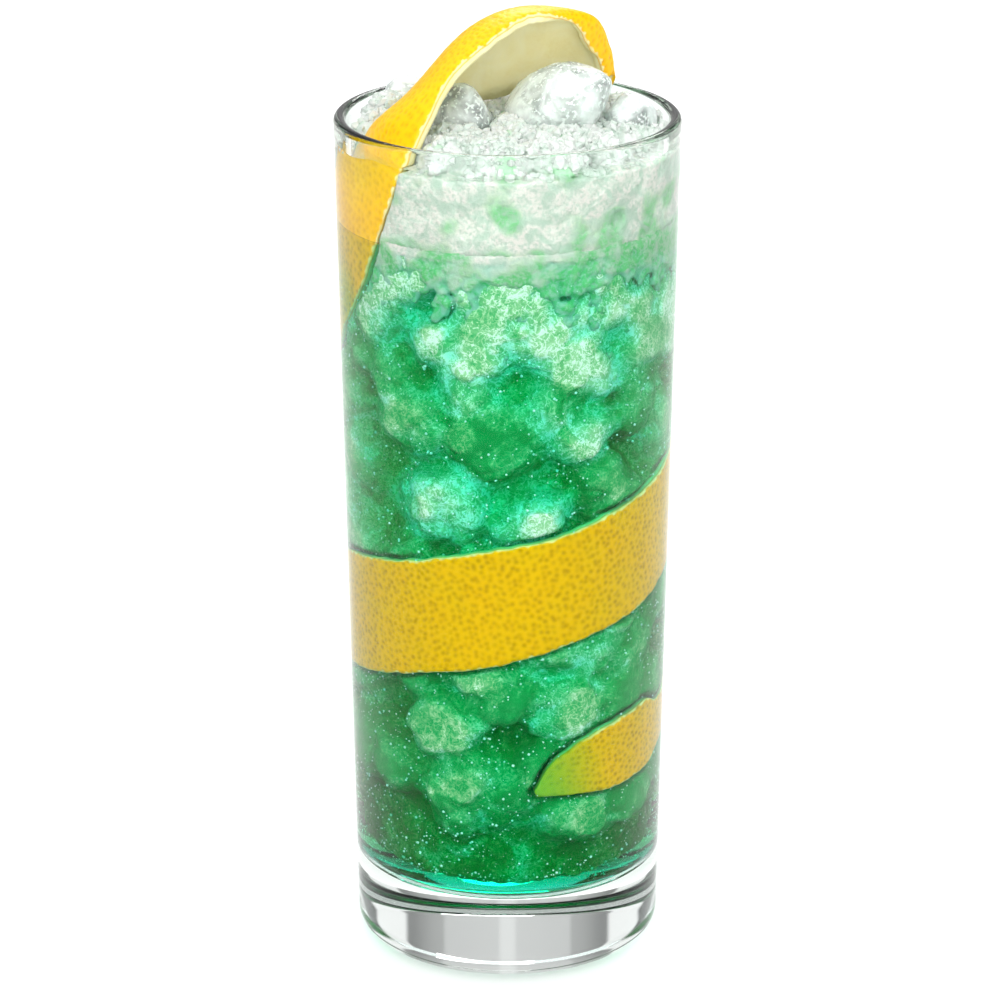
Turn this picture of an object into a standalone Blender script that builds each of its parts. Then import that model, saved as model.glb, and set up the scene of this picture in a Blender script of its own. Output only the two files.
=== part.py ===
"""Iced green highball cocktail in its tall glass, with one long spiral of lemon peel.

Units are metres, +Z is up, and the origin is the middle of the glass's foot.
Azimuths are in degrees, 0 at the front (-Y) and 90 at the right (+X).
"""

import math
import random

import bmesh
import bpy
import numpy as np
from mathutils import Matrix, Vector, noise

# Glass
HEIGHT = 0.167
RIM_RADIUS = 0.033
FOOT_RADIUS = 0.02985
WALL = 0.0024
FLOOR_ARC_STEPS = 6
LIP_ARC_STEPS = 8
FOOT_ARC_STEPS = 7
FLOOR = 0.016
FLOOR_CORNER = 0.005
FOOT_CORNER = 0.0043
RING_INNER_RADIUS = 0.0225
RECESS_RADIUS = 0.020
RECESS_DEPTH = 0.0008
GLASS_STEPS = 60

# Drink and ice
GAP = 0.0003
LEVEL = 0.147
BED_TOP = 0.1652
BED_CROWN = 0.0016
BUMP_SINK = 0.0034
BUMP_SHOWS = 0.85
BUMP_RINGS = (
    # count, distance from the axis, radius of a bump
    (15, 0.0240, 0.0076),
    (10, 0.0150, 0.0082),
    (4, 0.0058, 0.0080),
)
BUMP_DETAIL = 2
BUMP_SIZES = (0.78, 0.98)
BUMP_FLATTENING = (0.6, 0.8)
BUMP_AZIMUTH_DRIFT = 0.22
BUMP_RADIUS_DRIFT = 0.001
BUMP_TILT = 15
BUMP_SEED = 21
MOUNDS = (
    # x, y, extra height and spread of the higher places in the heap
    (-0.021, 0.015, 0.0022, 0.008),
    (0.024, 0.005, 0.0034, 0.008),
    (0.000, -0.018, 0.0010, 0.012),
)
LUMPS = (
    # name, middle, half sizes, turn about each axis in degrees, seed
    ("ice_lump_left", (-0.0088, -0.0032, 0.1668), (0.0066, 0.0062, 0.0066), (8, -12, 20), 3),
    ("ice_lump_big", (0.0098, -0.0020, 0.1692), (0.0112, 0.0082, 0.0076), (6, -16, -8), 8),
    ("ice_lump_back", (-0.0185, 0.0165, 0.1655), (0.0060, 0.0052, 0.0046), (0, 10, 35), 5),
    ("ice_lump_side", (0.0235, -0.0015, 0.1662), (0.0050, 0.0060, 0.0046), (10, 0, 15), 13),
)
LUMP_DETAIL = 3
LUMP_ROOM = 0.0004
CHIPS_PER_LUMP = 9
CHIP_NEAREST = 0.72
CHIP_FARTHEST = 0.92
CHIP_FLATNESS = 0.85
LUMP_UNEVENNESS = 0.06
LUMP_UNEVEN_PACE = 2.1

# Lemon peel
PEEL_THICKNESS = 0.0024
PEEL_WALL_GAP = 0.0004
PEEL_STEPS_PER_KNOT = 6
PEEL_STEPS_PER_ARCH_KNOT = 4
PEEL_SEGMENTS_ACROSS = 5
PEEL_EDGE_WAVE = 0.0004
PEEL_WAVE_PACES = (0.83, 0.31)
PEEL_WAVE_FULL_AT = 0.012
PEEL_SLOPE_REACH = 0.02
PEEL_ROOM = 0.0005
PEEL_CUT_REACH = 0.0006
PEEL_CLOSE_TO_WALL = 0.0022
PEEL_SPIRAL = (
    # azimuth, height of the middle, width
    (-709, 0.0391, 0.0012),
    (-692, 0.0429, 0.0108),
    (-660, 0.0452, 0.0142),
    (-628, 0.0470, 0.0100),
    (-540, 0.0580, 0.0185),
    (-436, 0.0696, 0.0230),
    (-366, 0.0776, 0.0222),
    (-300, 0.0855, 0.0225),
    (-240, 0.0955, 0.0225),
    (-180, 0.1085, 0.0225),
    (-130, 0.1205, 0.0220),
    (-97, 0.1315, 0.0215),
)
PEEL_ARCH = (
    # lower edge, middle and upper edge of the ribbon, from the glass's wall up and over
    ((-0.0254, -0.0153, 0.1395), (-0.0288, -0.0066, 0.1450), (-0.0298, 0.0020, 0.1494)),
    ((-0.0212, -0.0205, 0.1545), (-0.0270, -0.0104, 0.1575), (-0.0289, -0.0010, 0.1575)),
    ((-0.0170, -0.0224, 0.1660), (-0.0239, -0.0120, 0.1678), (-0.0258, -0.0010, 0.1638)),
    ((-0.0110, -0.0150, 0.1774), (-0.0176, -0.0070, 0.1740), (-0.0198, 0.0035, 0.1640)),
    ((-0.0018, -0.0080, 0.1844), (-0.0088, 0.0006, 0.1818), (-0.0115, 0.0085, 0.1652)),
    ((0.0063, -0.0020, 0.1866), (0.0010, 0.0062, 0.1842), (-0.0030, 0.0115, 0.1678)),
    ((0.0131, 0.0042, 0.1826), (0.0151, 0.0100, 0.1828), (0.0058, 0.0158, 0.1694)),
    ((0.0170, 0.0085, 0.1764), (0.0196, 0.0130, 0.1767), (0.0155, 0.0172, 0.1692)),
    ((0.0188, 0.0110, 0.1709), (0.0208, 0.0135, 0.1709), (0.0195, 0.0150, 0.1674)),
)


def outer_radius(height):
    return FOOT_RADIUS + (RIM_RADIUS - FOOT_RADIUS) * height / HEIGHT


def inner_radius(height):
    return outer_radius(height) - WALL


def arc(centre, radius, start, end, steps):
    """Points on an arc in the XZ plane; angles in degrees from +X towards +Z."""
    points = []
    for i in range(steps + 1):
        angle = math.radians(start + (end - start) * i / steps)
        points.append((centre[0] + radius * math.cos(angle), centre[1] + radius * math.sin(angle)))
    return points


def clear_scene():
    for obj in list(bpy.data.objects):
        bpy.data.objects.remove(obj, do_unlink=True)


def new_collection(name, hidden=False):
    collection = bpy.data.collections.new(name)
    bpy.context.scene.collection.children.link(collection)
    collection.hide_render = hidden
    return collection


def new_object(name, mesh, collection):
    obj = bpy.data.objects.new(name, mesh)
    collection.objects.link(obj)
    return obj


def as_cutter(obj):
    obj.hide_render = True
    obj.display_type = "WIRE"
    return obj


def material(name, colour, roughness, transmission=0.0):
    made = bpy.data.materials.new(name)
    made.use_nodes = True
    shader = made.node_tree.nodes["Principled BSDF"]
    shader.inputs["Base Color"].default_value = (*colour, 1.0)
    shader.inputs["Roughness"].default_value = roughness
    shader.inputs["Metallic"].default_value = 0.0
    shader.inputs["Transmission Weight"].default_value = transmission
    return made


def smooth(obj, angle=40):
    obj.data.shade_smooth()
    obj.data.set_sharp_from_angle(angle=math.radians(angle))


def applied(obj):
    """The object with its modifiers made part of its mesh."""
    graph = bpy.context.evaluated_depsgraph_get()
    graph.update()
    mesh = bpy.data.meshes.new_from_object(obj.evaluated_get(graph))
    obj.modifiers.clear()
    obj.data = mesh
    return obj


def turned(name, profile, steps, collection):
    """A solid turned about the Z axis from (radius, height) points."""
    mesh = bpy.data.meshes.new(name)
    edges = [(i, i + 1) for i in range(len(profile) - 1)]
    mesh.from_pydata([(radius, 0.0, height) for radius, height in profile], edges, [])
    obj = new_object(name, mesh, collection)
    screw = obj.modifiers.new("Turn", "SCREW")
    screw.axis = "Z"
    screw.steps = steps
    screw.render_steps = steps
    screw.use_merge_vertices = True
    screw.merge_threshold = 0.00001
    return applied(obj)


def boolean(obj, operation, other=None, collection=None):
    modifier = obj.modifiers.new(operation.title(), "BOOLEAN")
    modifier.operation = operation
    if collection:
        modifier.operand_type = "COLLECTION"
        modifier.collection = collection
    else:
        modifier.object = other
    return applied(obj)


def keep_largest_piece(obj):
    """Drops the loose scraps that a cut leaves."""
    shape = bmesh.new()
    shape.from_mesh(obj.data)
    left = set(shape.verts)
    pieces = []
    while left:
        piece = set()
        edge_of_piece = [left.pop()]
        while edge_of_piece:
            vertex = edge_of_piece.pop()
            piece.add(vertex)
            near = [e.other_vert(vertex) for e in vertex.link_edges]
            fresh = [v for v in near if v in left]
            left.difference_update(fresh)
            edge_of_piece.extend(fresh)
        pieces.append(piece)
    pieces.sort(key=len)
    scraps = [vertex for piece in pieces[:-1] for vertex in piece]
    bmesh.ops.delete(shape, geom=scraps, context="VERTS")
    shape.to_mesh(obj.data)
    shape.free()


def make_glass(parts):
    lip = WALL / 2
    lip_height = HEIGHT - lip
    lip_middle = RIM_RADIUS - lip
    floor_edge = inner_radius(FLOOR + FLOOR_CORNER) - FLOOR_CORNER
    foot_edge = outer_radius(FOOT_CORNER) - FOOT_CORNER
    profile = [(0.0, FLOOR)]
    profile += arc((floor_edge, FLOOR + FLOOR_CORNER), FLOOR_CORNER, -90, 0, FLOOR_ARC_STEPS)
    profile += arc((lip_middle, lip_height), lip, 180, 0, LIP_ARC_STEPS)
    profile += arc((foot_edge, FOOT_CORNER), FOOT_CORNER, 0, -90, FOOT_ARC_STEPS)
    profile += [(RING_INNER_RADIUS, 0.0), (RECESS_RADIUS, RECESS_DEPTH), (0.0, RECESS_DEPTH)]
    glass = turned("glass", profile, GLASS_STEPS, parts)
    glass.data.materials.append(material("clear soda-lime glass", (0.93, 0.97, 0.95), 0.02, 1.0))
    smooth(glass)


def smooth_curve(knots, place):
    """The point at place, from 0 to the last knot's number, on a smooth curve through the knots."""
    last = len(knots) - 1
    index = min(int(place), last - 1)
    part = place - index
    here, after = knots[index], knots[index + 1]
    before = knots[index - 1] if index else 2 * here - after
    beyond = knots[index + 2] if index + 2 <= last else 2 * after - here
    return 0.5 * (
        2 * here
        + (after - before) * part
        + (2 * before - 5 * here + 4 * after - beyond) * part**2
        + (3 * here - before - 3 * after + beyond) * part**3
    )


def on_wall(azimuth, height):
    radius = inner_radius(height) - PEEL_WALL_GAP
    angle = math.radians(azimuth)
    return np.array((radius * math.sin(angle), -radius * math.cos(angle), height))


def spiral_section(place):
    """Lower edge, middle and upper edge of the ribbon where it lies against the wall."""
    knots = np.array(PEEL_SPIRAL, float)
    azimuth, height, width = smooth_curve(knots, place)
    ahead = smooth_curve(knots, min(place + PEEL_SLOPE_REACH, len(knots) - 1))
    behind = smooth_curve(knots, max(place - PEEL_SLOPE_REACH, 0))
    radius = inner_radius(height) - PEEL_WALL_GAP
    run = math.radians(ahead[0] - behind[0]) * radius
    slope = math.atan2(ahead[1] - behind[1], run)
    aside = math.degrees(width / 2 * math.sin(slope) / radius)
    rise = width / 2 * math.cos(slope)
    return np.array(
        (
            on_wall(azimuth + aside, height - rise),
            on_wall(azimuth, height),
            on_wall(azimuth - aside, height + rise),
        )
    )


def peel_sections():
    """The ribbon's sections from its tail, up the wall and over the arch to its tip."""
    sections = []
    spiral_knots = len(PEEL_SPIRAL) - 1
    for i in range(spiral_knots * PEEL_STEPS_PER_KNOT):
        sections.append(spiral_section(i / PEEL_STEPS_PER_KNOT))
    last_turn = spiral_section(spiral_knots)
    arch = np.concatenate(([last_turn], np.array(PEEL_ARCH)))
    for i in range((len(arch) - 1) * PEEL_STEPS_PER_ARCH_KNOT + 1):
        sections.append(smooth_curve(arch, i / PEEL_STEPS_PER_ARCH_KNOT))
    return sections


def peel_skin(widen):
    """A grid of points on the skin side; widen moves both cut edges and both ends outwards."""
    rows = []
    for number, (lower, middle, upper) in enumerate(peel_sections()):
        width = np.linalg.norm(upper - lower)
        wave = PEEL_EDGE_WAVE * math.sin(PEEL_WAVE_PACES[0] * number) * math.sin(PEEL_WAVE_PACES[1] * number)
        wave *= min(width / PEEL_WAVE_FULL_AT, 1.0)
        reach = 1 + 2 * (widen + wave) / max(width, 0.001)
        row = []
        for i in range(PEEL_SEGMENTS_ACROSS + 1):
            across = reach * (2 * i / PEEL_SEGMENTS_ACROSS - 1)
            point = lower * (across**2 - across) / 2
            point = point + middle * (1 - across**2) + upper * (across**2 + across) / 2
            row.append(point)
        rows.append(row)
    skin = np.array(rows)
    for end, beside in ((0, 1), (-1, -2)):
        onward = skin[end] - skin[beside]
        skin[end] += widen * onward / np.linalg.norm(onward, axis=1, keepdims=True)
    return skin


def ribbon(name, skin, outward, inward, collection):
    """A closed loft round a grid: its outer side moved out and its inner side in, by each point's amount."""
    along = np.gradient(skin, axis=0)
    across = np.gradient(skin, axis=1)
    normal = np.cross(along, across)
    normal /= np.linalg.norm(normal, axis=2, keepdims=True)
    rows, columns = skin.shape[:2]
    sides = (skin + normal * outward[..., None], skin - normal * inward[..., None])
    shape = bmesh.new()
    outer, inner = ([[shape.verts.new(p) for p in row] for row in side] for side in sides)
    for i in range(rows - 1):
        for j in range(columns - 1):
            shape.faces.new((outer[i][j], outer[i + 1][j], outer[i + 1][j + 1], outer[i][j + 1]))
            shape.faces.new((inner[i][j], inner[i][j + 1], inner[i + 1][j + 1], inner[i + 1][j]))
        for j in (0, columns - 1):
            shape.faces.new((outer[i][j], inner[i][j], inner[i + 1][j], outer[i + 1][j]))
    for i in (0, rows - 1):
        for j in range(columns - 1):
            shape.faces.new((outer[i][j], outer[i][j + 1], inner[i][j + 1], inner[i][j]))
    bmesh.ops.recalc_face_normals(shape, faces=shape.faces)
    bmesh.ops.triangulate(shape, faces=shape.faces)
    mesh = bpy.data.meshes.new(name)
    shape.to_mesh(mesh)
    shape.free()
    return new_object(name, mesh, collection)


def make_peel(parts):
    skin = peel_skin(0.0)
    flat = np.zeros(skin.shape[:2])
    peel = ribbon("lemon_peel", skin, flat, flat + PEEL_THICKNESS, parts)
    peel.data.materials.append(material("lemon peel", (0.95, 0.62, 0.01), 0.4))
    smooth(peel)


def make_peel_cutter(cutters):
    """The peel with room round it; where it lies against the wall, the room reaches through to the wall."""
    skin = peel_skin(PEEL_ROOM)
    outward = np.full(skin.shape[:2], PEEL_ROOM)
    for index in np.ndindex(outward.shape):
        x, y, height = skin[index]
        to_wall = inner_radius(height) - math.hypot(x, y)
        if to_wall < PEEL_CLOSE_TO_WALL:
            outward[index] = to_wall + PEEL_CUT_REACH
    inward = np.full_like(outward, PEEL_THICKNESS + PEEL_ROOM)
    return as_cutter(ribbon("peel_room", skin, outward, inward, cutters))


def make_drink(parts, peel_room):
    bottom = FLOOR + GAP
    corner = FLOOR_CORNER
    edge = inner_radius(bottom + corner) - GAP - corner
    profile = [(0.0, LEVEL), (inner_radius(LEVEL) - GAP, LEVEL)]
    profile += arc((edge, bottom + corner), corner, 0, -90, FLOOR_ARC_STEPS)
    profile += [(0.0, bottom)]
    drink = turned("drink", profile, GLASS_STEPS, parts)
    boolean(drink, "DIFFERENCE", peel_room)
    keep_largest_piece(drink)
    drink.data.materials.append(material("green drink", (0.0, 0.45, 0.25), 0.1, 0.6))
    smooth(drink)


def chunk(name, middle, half_sizes, turn, seed, detail, grow, collection):
    """A rounded chunk of ice: a ball chipped flat on several sides, with a slightly uneven surface."""
    draw = random.Random(seed)
    shape = bmesh.new()
    bmesh.ops.create_icosphere(shape, subdivisions=detail, radius=1.0)
    chips = []
    for _ in range(CHIPS_PER_LUMP):
        direction = Vector((draw.uniform(-1, 1), draw.uniform(-1, 1), draw.uniform(-1, 1)))
        chips.append((direction.normalized(), draw.uniform(CHIP_NEAREST, CHIP_FARTHEST)))
    for vertex in shape.verts:
        for direction, distance in chips:
            over = vertex.co.dot(direction) - distance
            if over > 0:
                vertex.co -= direction * over * CHIP_FLATNESS
        vertex.co *= 1 + LUMP_UNEVENNESS * noise.noise(vertex.co * LUMP_UNEVEN_PACE + Vector((seed, 0, 0)))
        vertex.co = Vector(vertex.co[i] * (half_sizes[i] + grow) for i in range(3))
    mesh = bpy.data.meshes.new(name)
    shape.to_mesh(mesh)
    shape.free()
    turned_by = [Matrix.Rotation(math.radians(turn[i]), 4, "XYZ"[i]) for i in range(3)]
    mesh.transform(Matrix.Translation(middle) @ turned_by[2] @ turned_by[1] @ turned_by[0])
    return new_object(name, mesh, collection)


def heap_height(x, y):
    distance = math.hypot(x, y) / RIM_RADIUS
    height = BED_TOP + BED_CROWN * (1 - distance**2)
    for mound_x, mound_y, extra, spread in MOUNDS:
        height += extra * math.exp(-((x - mound_x) ** 2 + (y - mound_y) ** 2) / spread**2)
    return height


def make_crushed_ice(parts, peel_room, lump_rooms):
    bottom = LEVEL + GAP
    low_top = BED_TOP - BUMP_SINK
    profile = [(0.0, low_top + BED_CROWN)]
    profile += [(inner_radius(low_top) - GAP, low_top), (inner_radius(bottom) - GAP, bottom), (0.0, bottom)]
    bed = turned("crushed_ice", profile, GLASS_STEPS, parts)
    bumps = new_collection("ice bumps", hidden=True)
    draw = random.Random(BUMP_SEED)
    for count, distance, size in BUMP_RINGS:
        for i in range(count):
            azimuth = math.radians(360 * (i + draw.uniform(-BUMP_AZIMUTH_DRIFT, BUMP_AZIMUTH_DRIFT)) / count)
            radius = size * draw.uniform(*BUMP_SIZES)
            drift = draw.uniform(-BUMP_RADIUS_DRIFT, BUMP_RADIUS_DRIFT)
            away = min(distance + drift, inner_radius(BED_TOP) - radius - 2 * GAP)
            x, y = away * math.sin(azimuth), -away * math.cos(azimuth)
            flat = radius * draw.uniform(*BUMP_FLATTENING)
            middle = (x, y, heap_height(x, y) - flat * BUMP_SHOWS)
            tilt = (draw.uniform(-BUMP_TILT, BUMP_TILT), draw.uniform(-BUMP_TILT, BUMP_TILT))
            turn = (*tilt, draw.uniform(0, 360))
            seed = draw.randrange(1000)
            as_cutter(chunk("bump", middle, (radius, radius, flat), turn, seed, BUMP_DETAIL, 0.0, bumps))
    boolean(bed, "UNION", collection=bumps)
    for bump in list(bumps.objects):
        bpy.data.objects.remove(bump, do_unlink=True)
    bpy.data.collections.remove(bumps)
    for room in [peel_room, *lump_rooms]:
        boolean(bed, "DIFFERENCE", room)
    keep_largest_piece(bed)
    bed.data.materials.append(material("crushed ice", (0.9, 0.95, 0.93), 0.35, 0.3))
    smooth(bed)


def make_lumps(parts, cutters):
    rooms = []
    look = material("clear ice", (0.92, 0.97, 0.96), 0.1, 0.8)
    for name, middle, half_sizes, turn, seed in LUMPS:
        lump = chunk(name, middle, half_sizes, turn, seed, LUMP_DETAIL, 0.0, parts)
        lump.data.materials.append(look)
        smooth(lump)
        room = chunk(name + "_room", middle, half_sizes, turn, seed, LUMP_DETAIL, LUMP_ROOM, cutters)
        rooms.append(as_cutter(room))
    return rooms


def main():
    clear_scene()
    parts = new_collection("iced green cocktail")
    cutters = new_collection("cutters", hidden=True)
    make_glass(parts)
    make_peel(parts)
    peel_room = make_peel_cutter(cutters)
    make_drink(parts, peel_room)
    lump_rooms = make_lumps(parts, cutters)
    make_crushed_ice(parts, peel_room, lump_rooms)


main()
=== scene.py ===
"""Looks of an iced green highball cocktail with one long spiral of lemon peel.

Units are metres, +Z is up and the origin is the middle of the glass's foot.
Azimuths are in degrees, 0 at the front (-Y) and 90 at the right (+X).
"""

import functools
import math
import random

import bmesh
import bpy
import numpy as np
from mathutils import Matrix, Vector, kdtree, noise
from mathutils.bvhtree import BVHTree


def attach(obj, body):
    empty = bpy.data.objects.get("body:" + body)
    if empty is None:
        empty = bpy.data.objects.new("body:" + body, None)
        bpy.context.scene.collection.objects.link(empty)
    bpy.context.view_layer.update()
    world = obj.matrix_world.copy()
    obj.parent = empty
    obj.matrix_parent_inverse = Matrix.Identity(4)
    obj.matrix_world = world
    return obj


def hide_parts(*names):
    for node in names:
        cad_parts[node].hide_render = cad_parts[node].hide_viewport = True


bl_info = {
    "name": "Iced Green Highball",
    "version": (1, 0, 0),
    "blender": (4, 5, 0),
    "location": "View3D > Sidebar > Highball",
    "description": "Glass, drink, ice and lemon peel of an iced highball cocktail",
    "category": "Add Mesh",
}

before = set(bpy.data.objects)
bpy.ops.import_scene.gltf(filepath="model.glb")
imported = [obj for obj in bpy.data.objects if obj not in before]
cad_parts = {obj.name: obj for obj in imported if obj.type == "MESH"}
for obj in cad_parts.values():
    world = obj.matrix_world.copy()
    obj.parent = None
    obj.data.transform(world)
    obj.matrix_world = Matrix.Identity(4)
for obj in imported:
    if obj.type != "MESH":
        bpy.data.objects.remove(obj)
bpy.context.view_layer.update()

# Glass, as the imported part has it
HEIGHT = 0.167
RIM_RADIUS = 0.033
FOOT_RADIUS = 0.02985
WALL = 0.0024
FLOOR = 0.016
FLOOR_CORNER = 0.005
FOOT_CORNER = 0.0043
RING_INNER_RADIUS = 0.0225
RECESS_RADIUS = 0.020
RECESS_DEPTH = 0.0008
TURNED_STEPS = 240
INTO_WALL = 0.00006
GLASS_IOR = 1.52
GLASS_WAVE_MM = 14.0
WAVE_HEIGHT = 0.00001
SHARP_ANGLE = math.radians(30)
WHITE = (1.0, 1.0, 1.0, 1.0)

# Drink and ice
LEVEL = 0.147
MELT_TOP = 0.1625
MELT_THICKNESS = 0.004
DRY_GLINT = 0.14
WET_GLINT = 0.0
ICE_IOR = 1.31
SUNKEN_CORE = ((0.0, 0.1462), (0.0228, 0.1462), (0.0212, 0.027), (0.0200, 0.0175), (0.0, 0.0168))
SUNKEN_VOXEL = 0.00078
FROST_VOXEL = 0.0005
HEAP_VOXEL = 0.00045
LUMP_VOXEL = 0.00035
SHARD_SIZE = 0.0062
NOISE_SEED = 3
LUMP_LAYERS = 12
LUMPS_A_LAYER = 13
LOWEST_LAYER = 0.037
LAYER_STEP = 0.0095
UPPER_LUMPS = 40
FROST_RING = 46
FROST_CRUMBS = 1500
CHIPS_REACH = 0.0295
ABOVE_ALL = 0.19
BEHIND_PEEL = 0.0034
SIDE_DEPTH = 0.0012
LEAST_STAIN = 0.004
POCKET_SHIFT = Vector((3, 1, 7))

# Lemon peel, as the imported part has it
PEEL_THICKNESS = 0.0024
PEEL_WALL_GAP = 0.0004
PEEL_STEPS_PER_KNOT = 6
PEEL_STEPS_PER_ARCH_KNOT = 4
PEEL_EDGE_WAVE = 0.0004
PEEL_SPIRAL = (
    # azimuth, height of the middle, width
    (-709, 0.0391, 0.0012),
    (-692, 0.0429, 0.0108),
    (-660, 0.0452, 0.0142),
    (-628, 0.0470, 0.0100),
    (-540, 0.0580, 0.0185),
    (-436, 0.0696, 0.0230),
    (-366, 0.0776, 0.0222),
    (-300, 0.0855, 0.0225),
    (-240, 0.0955, 0.0225),
    (-180, 0.1085, 0.0225),
    (-130, 0.1205, 0.0220),
    (-97, 0.1315, 0.0215),
)
PEEL_ARCH = (
    # lower edge, middle and upper edge of the ribbon, from the glass's wall up and over
    ((-0.0254, -0.0153, 0.1395), (-0.0288, -0.0066, 0.1450), (-0.0298, 0.0020, 0.1494)),
    ((-0.0212, -0.0205, 0.1545), (-0.0270, -0.0104, 0.1575), (-0.0289, -0.0010, 0.1575)),
    ((-0.0170, -0.0224, 0.1660), (-0.0239, -0.0120, 0.1678), (-0.0258, -0.0010, 0.1638)),
    ((-0.0110, -0.0150, 0.1774), (-0.0176, -0.0070, 0.1740), (-0.0198, 0.0035, 0.1640)),
    ((-0.0018, -0.0080, 0.1844), (-0.0088, 0.0006, 0.1818), (-0.0115, 0.0085, 0.1652)),
    ((0.0063, -0.0020, 0.1866), (0.0010, 0.0062, 0.1842), (-0.0030, 0.0115, 0.1678)),
    ((0.0131, 0.0042, 0.1826), (0.0151, 0.0100, 0.1828), (0.0058, 0.0158, 0.1694)),
    ((0.0170, 0.0085, 0.1764), (0.0196, 0.0130, 0.1767), (0.0155, 0.0172, 0.1692)),
    ((0.0188, 0.0110, 0.1709), (0.0208, 0.0135, 0.1709), (0.0195, 0.0150, 0.1674)),
)
PEEL_GRID = 0.00038
PEEL_ACROSS = 60
PEEL_PITH_ACROSS = 15
PEEL_EDGE_STEPS = 4
PORE_CELL = 0.0013
PEEL_TO_WALL = 0.0001
PEEL_MOST_LIFT = 0.0006
PEEL_STEEPED = 0.017

# Pale cloudy lumps of ice that show through the drink: azimuth, height, radius, cloudiness
CLOUDY_LUMPS = (
    (-29, 0.0970, 0.0085, 0.95),
    (9, 0.0945, 0.0070, 0.75),
    (31, 0.1110, 0.0065, 0.6),
    (25, 0.0560, 0.0070, 0.6),
    (-27, 0.0515, 0.0080, 0.5),
    (-14, 0.1290, 0.0090, 0.55),
    (14, 0.1320, 0.0100, 0.7),
    (37, 0.1230, 0.0055, 0.9),
    (-40, 0.1130, 0.0080, 0.3),
    (150, 0.1000, 0.0080, 0.9),
    (-120, 0.0750, 0.0080, 0.7),
    (110, 0.0600, 0.0075, 0.6),
)

# Clear places in the crushed ice: azimuth, distance from the axis, height, radius, strength
CLEAR_WINDOWS = (
    (-8, 0.0190, 0.1670, 0.0040, 0.6),
    (0, 0.0306, 0.1537, 0.0044, 0.32),
    (32, 0.0304, 0.1519, 0.0046, 0.42),
    (17, 0.0306, 0.1629, 0.0026, 0.35),
    (57, 0.0306, 0.1650, 0.0024, 0.35),
    (-36, 0.0304, 0.1560, 0.0030, 0.25),
    (140, 0.0304, 0.1560, 0.0046, 0.4),
    (-115, 0.0304, 0.1580, 0.0040, 0.35),
    (160, 0.0150, 0.1675, 0.0036, 0.4),
)

# From clear soaked ice to ice full of air, how pale it is and its colour; painted glints on the ice take the
# palest tones too
ICE_TONES = ((0.0, "#10964A"), (0.18, "#2CA85A"), (0.43, "#78C07E"), (0.72, "#BCDAA8"), (1.0, "#F4FAEA"))

# How bright the tent is at each azimuth, the same to the left and to the right
TENT = (
    (0, 1.2), (20, 1.2), (30, 1.4), (62, 1.4), (70, 0.1), (84, 0.06), (92, 1.0), (104, 1.0), (110, 0.05),
    (122, 0.05), (127, 1.3), (144, 1.3), (147, 0.35), (160, 0.6), (162, 0.85), (177, 0.9), (178.5, 1.1),
)
TENT_TOP = 1.6
TENT_SEEN = 1.45

# Name, place, size and share of the lamp's power
SOFTBOXES = (
    ("left softbox", (-0.55, -0.75, 0.75), 0.5, 1.0),
    ("right softbox", (0.65, -0.55, 0.6), 0.4, 0.6),
    ("front softbox", (0.0, -1.0, 0.8), 0.5, 0.85),
    ("back softbox", (0.1, 0.8, 0.8), 0.5, 1.0),
)
LAMPS_AIM = 0.09

CAMERA_PLACE = (0.0, -0.764, 0.358)
CAMERA_TILT = 19.37
CAMERA_FOCAL_PIXELS = 4147
CAMERA_AXIS_PIXEL = 507.5
IMAGE_PIXELS = 1000
SENSOR_MM = 36


def hex_colour(text):
    """Linear colour with alpha from an sRGB hex value."""
    parts = [int(text[i : i + 2], 16) / 255 for i in (1, 3, 5)]
    linear = [c / 12.92 if c <= 0.04045 else ((c + 0.055) / 1.055) ** 2.4 for c in parts]
    return (*linear, 1.0)


def grey(value):
    return (value, value, value, 1.0)


def outer_radius(height):
    return FOOT_RADIUS + (RIM_RADIUS - FOOT_RADIUS) * height / HEIGHT


def inner_radius(height):
    return outer_radius(height) - WALL


def arc(centre, radius, start, end, steps):
    """Points on an arc in the XZ plane; angles in degrees from +X towards +Z."""
    angles = np.radians(np.linspace(start, end, steps + 1))
    return [(centre[0] + radius * math.cos(a), centre[1] + radius * math.sin(a)) for a in angles]


def around(azimuth, radius, height):
    angle = math.radians(azimuth)
    return np.array((radius * math.sin(angle), -radius * math.cos(angle), height))


# Materials


def add(tree, kind, inputs=None, **settings):
    """Adds a node with its settings; inputs, by name or number, are values, sockets or nodes.

    A node stands for the first of its outputs that is in use.
    """
    node = tree.nodes.new(kind)
    for name, value in settings.items():
        setattr(node, name, value)
    for name, value in (inputs or {}).items():
        if isinstance(value, bpy.types.Node):
            value = next(socket for socket in value.outputs if socket.enabled)
        if isinstance(value, bpy.types.NodeSocket):
            tree.links.new(value, node.inputs[name])
        else:
            node.inputs[name].default_value = value
    return node


def new_material(name):
    made = bpy.data.materials.new(name)
    made.use_nodes = True
    tree = made.node_tree
    tree.nodes.clear()
    place = add(tree, "ShaderNodeTexCoord").outputs["Object"]
    return made, tree, place


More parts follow.
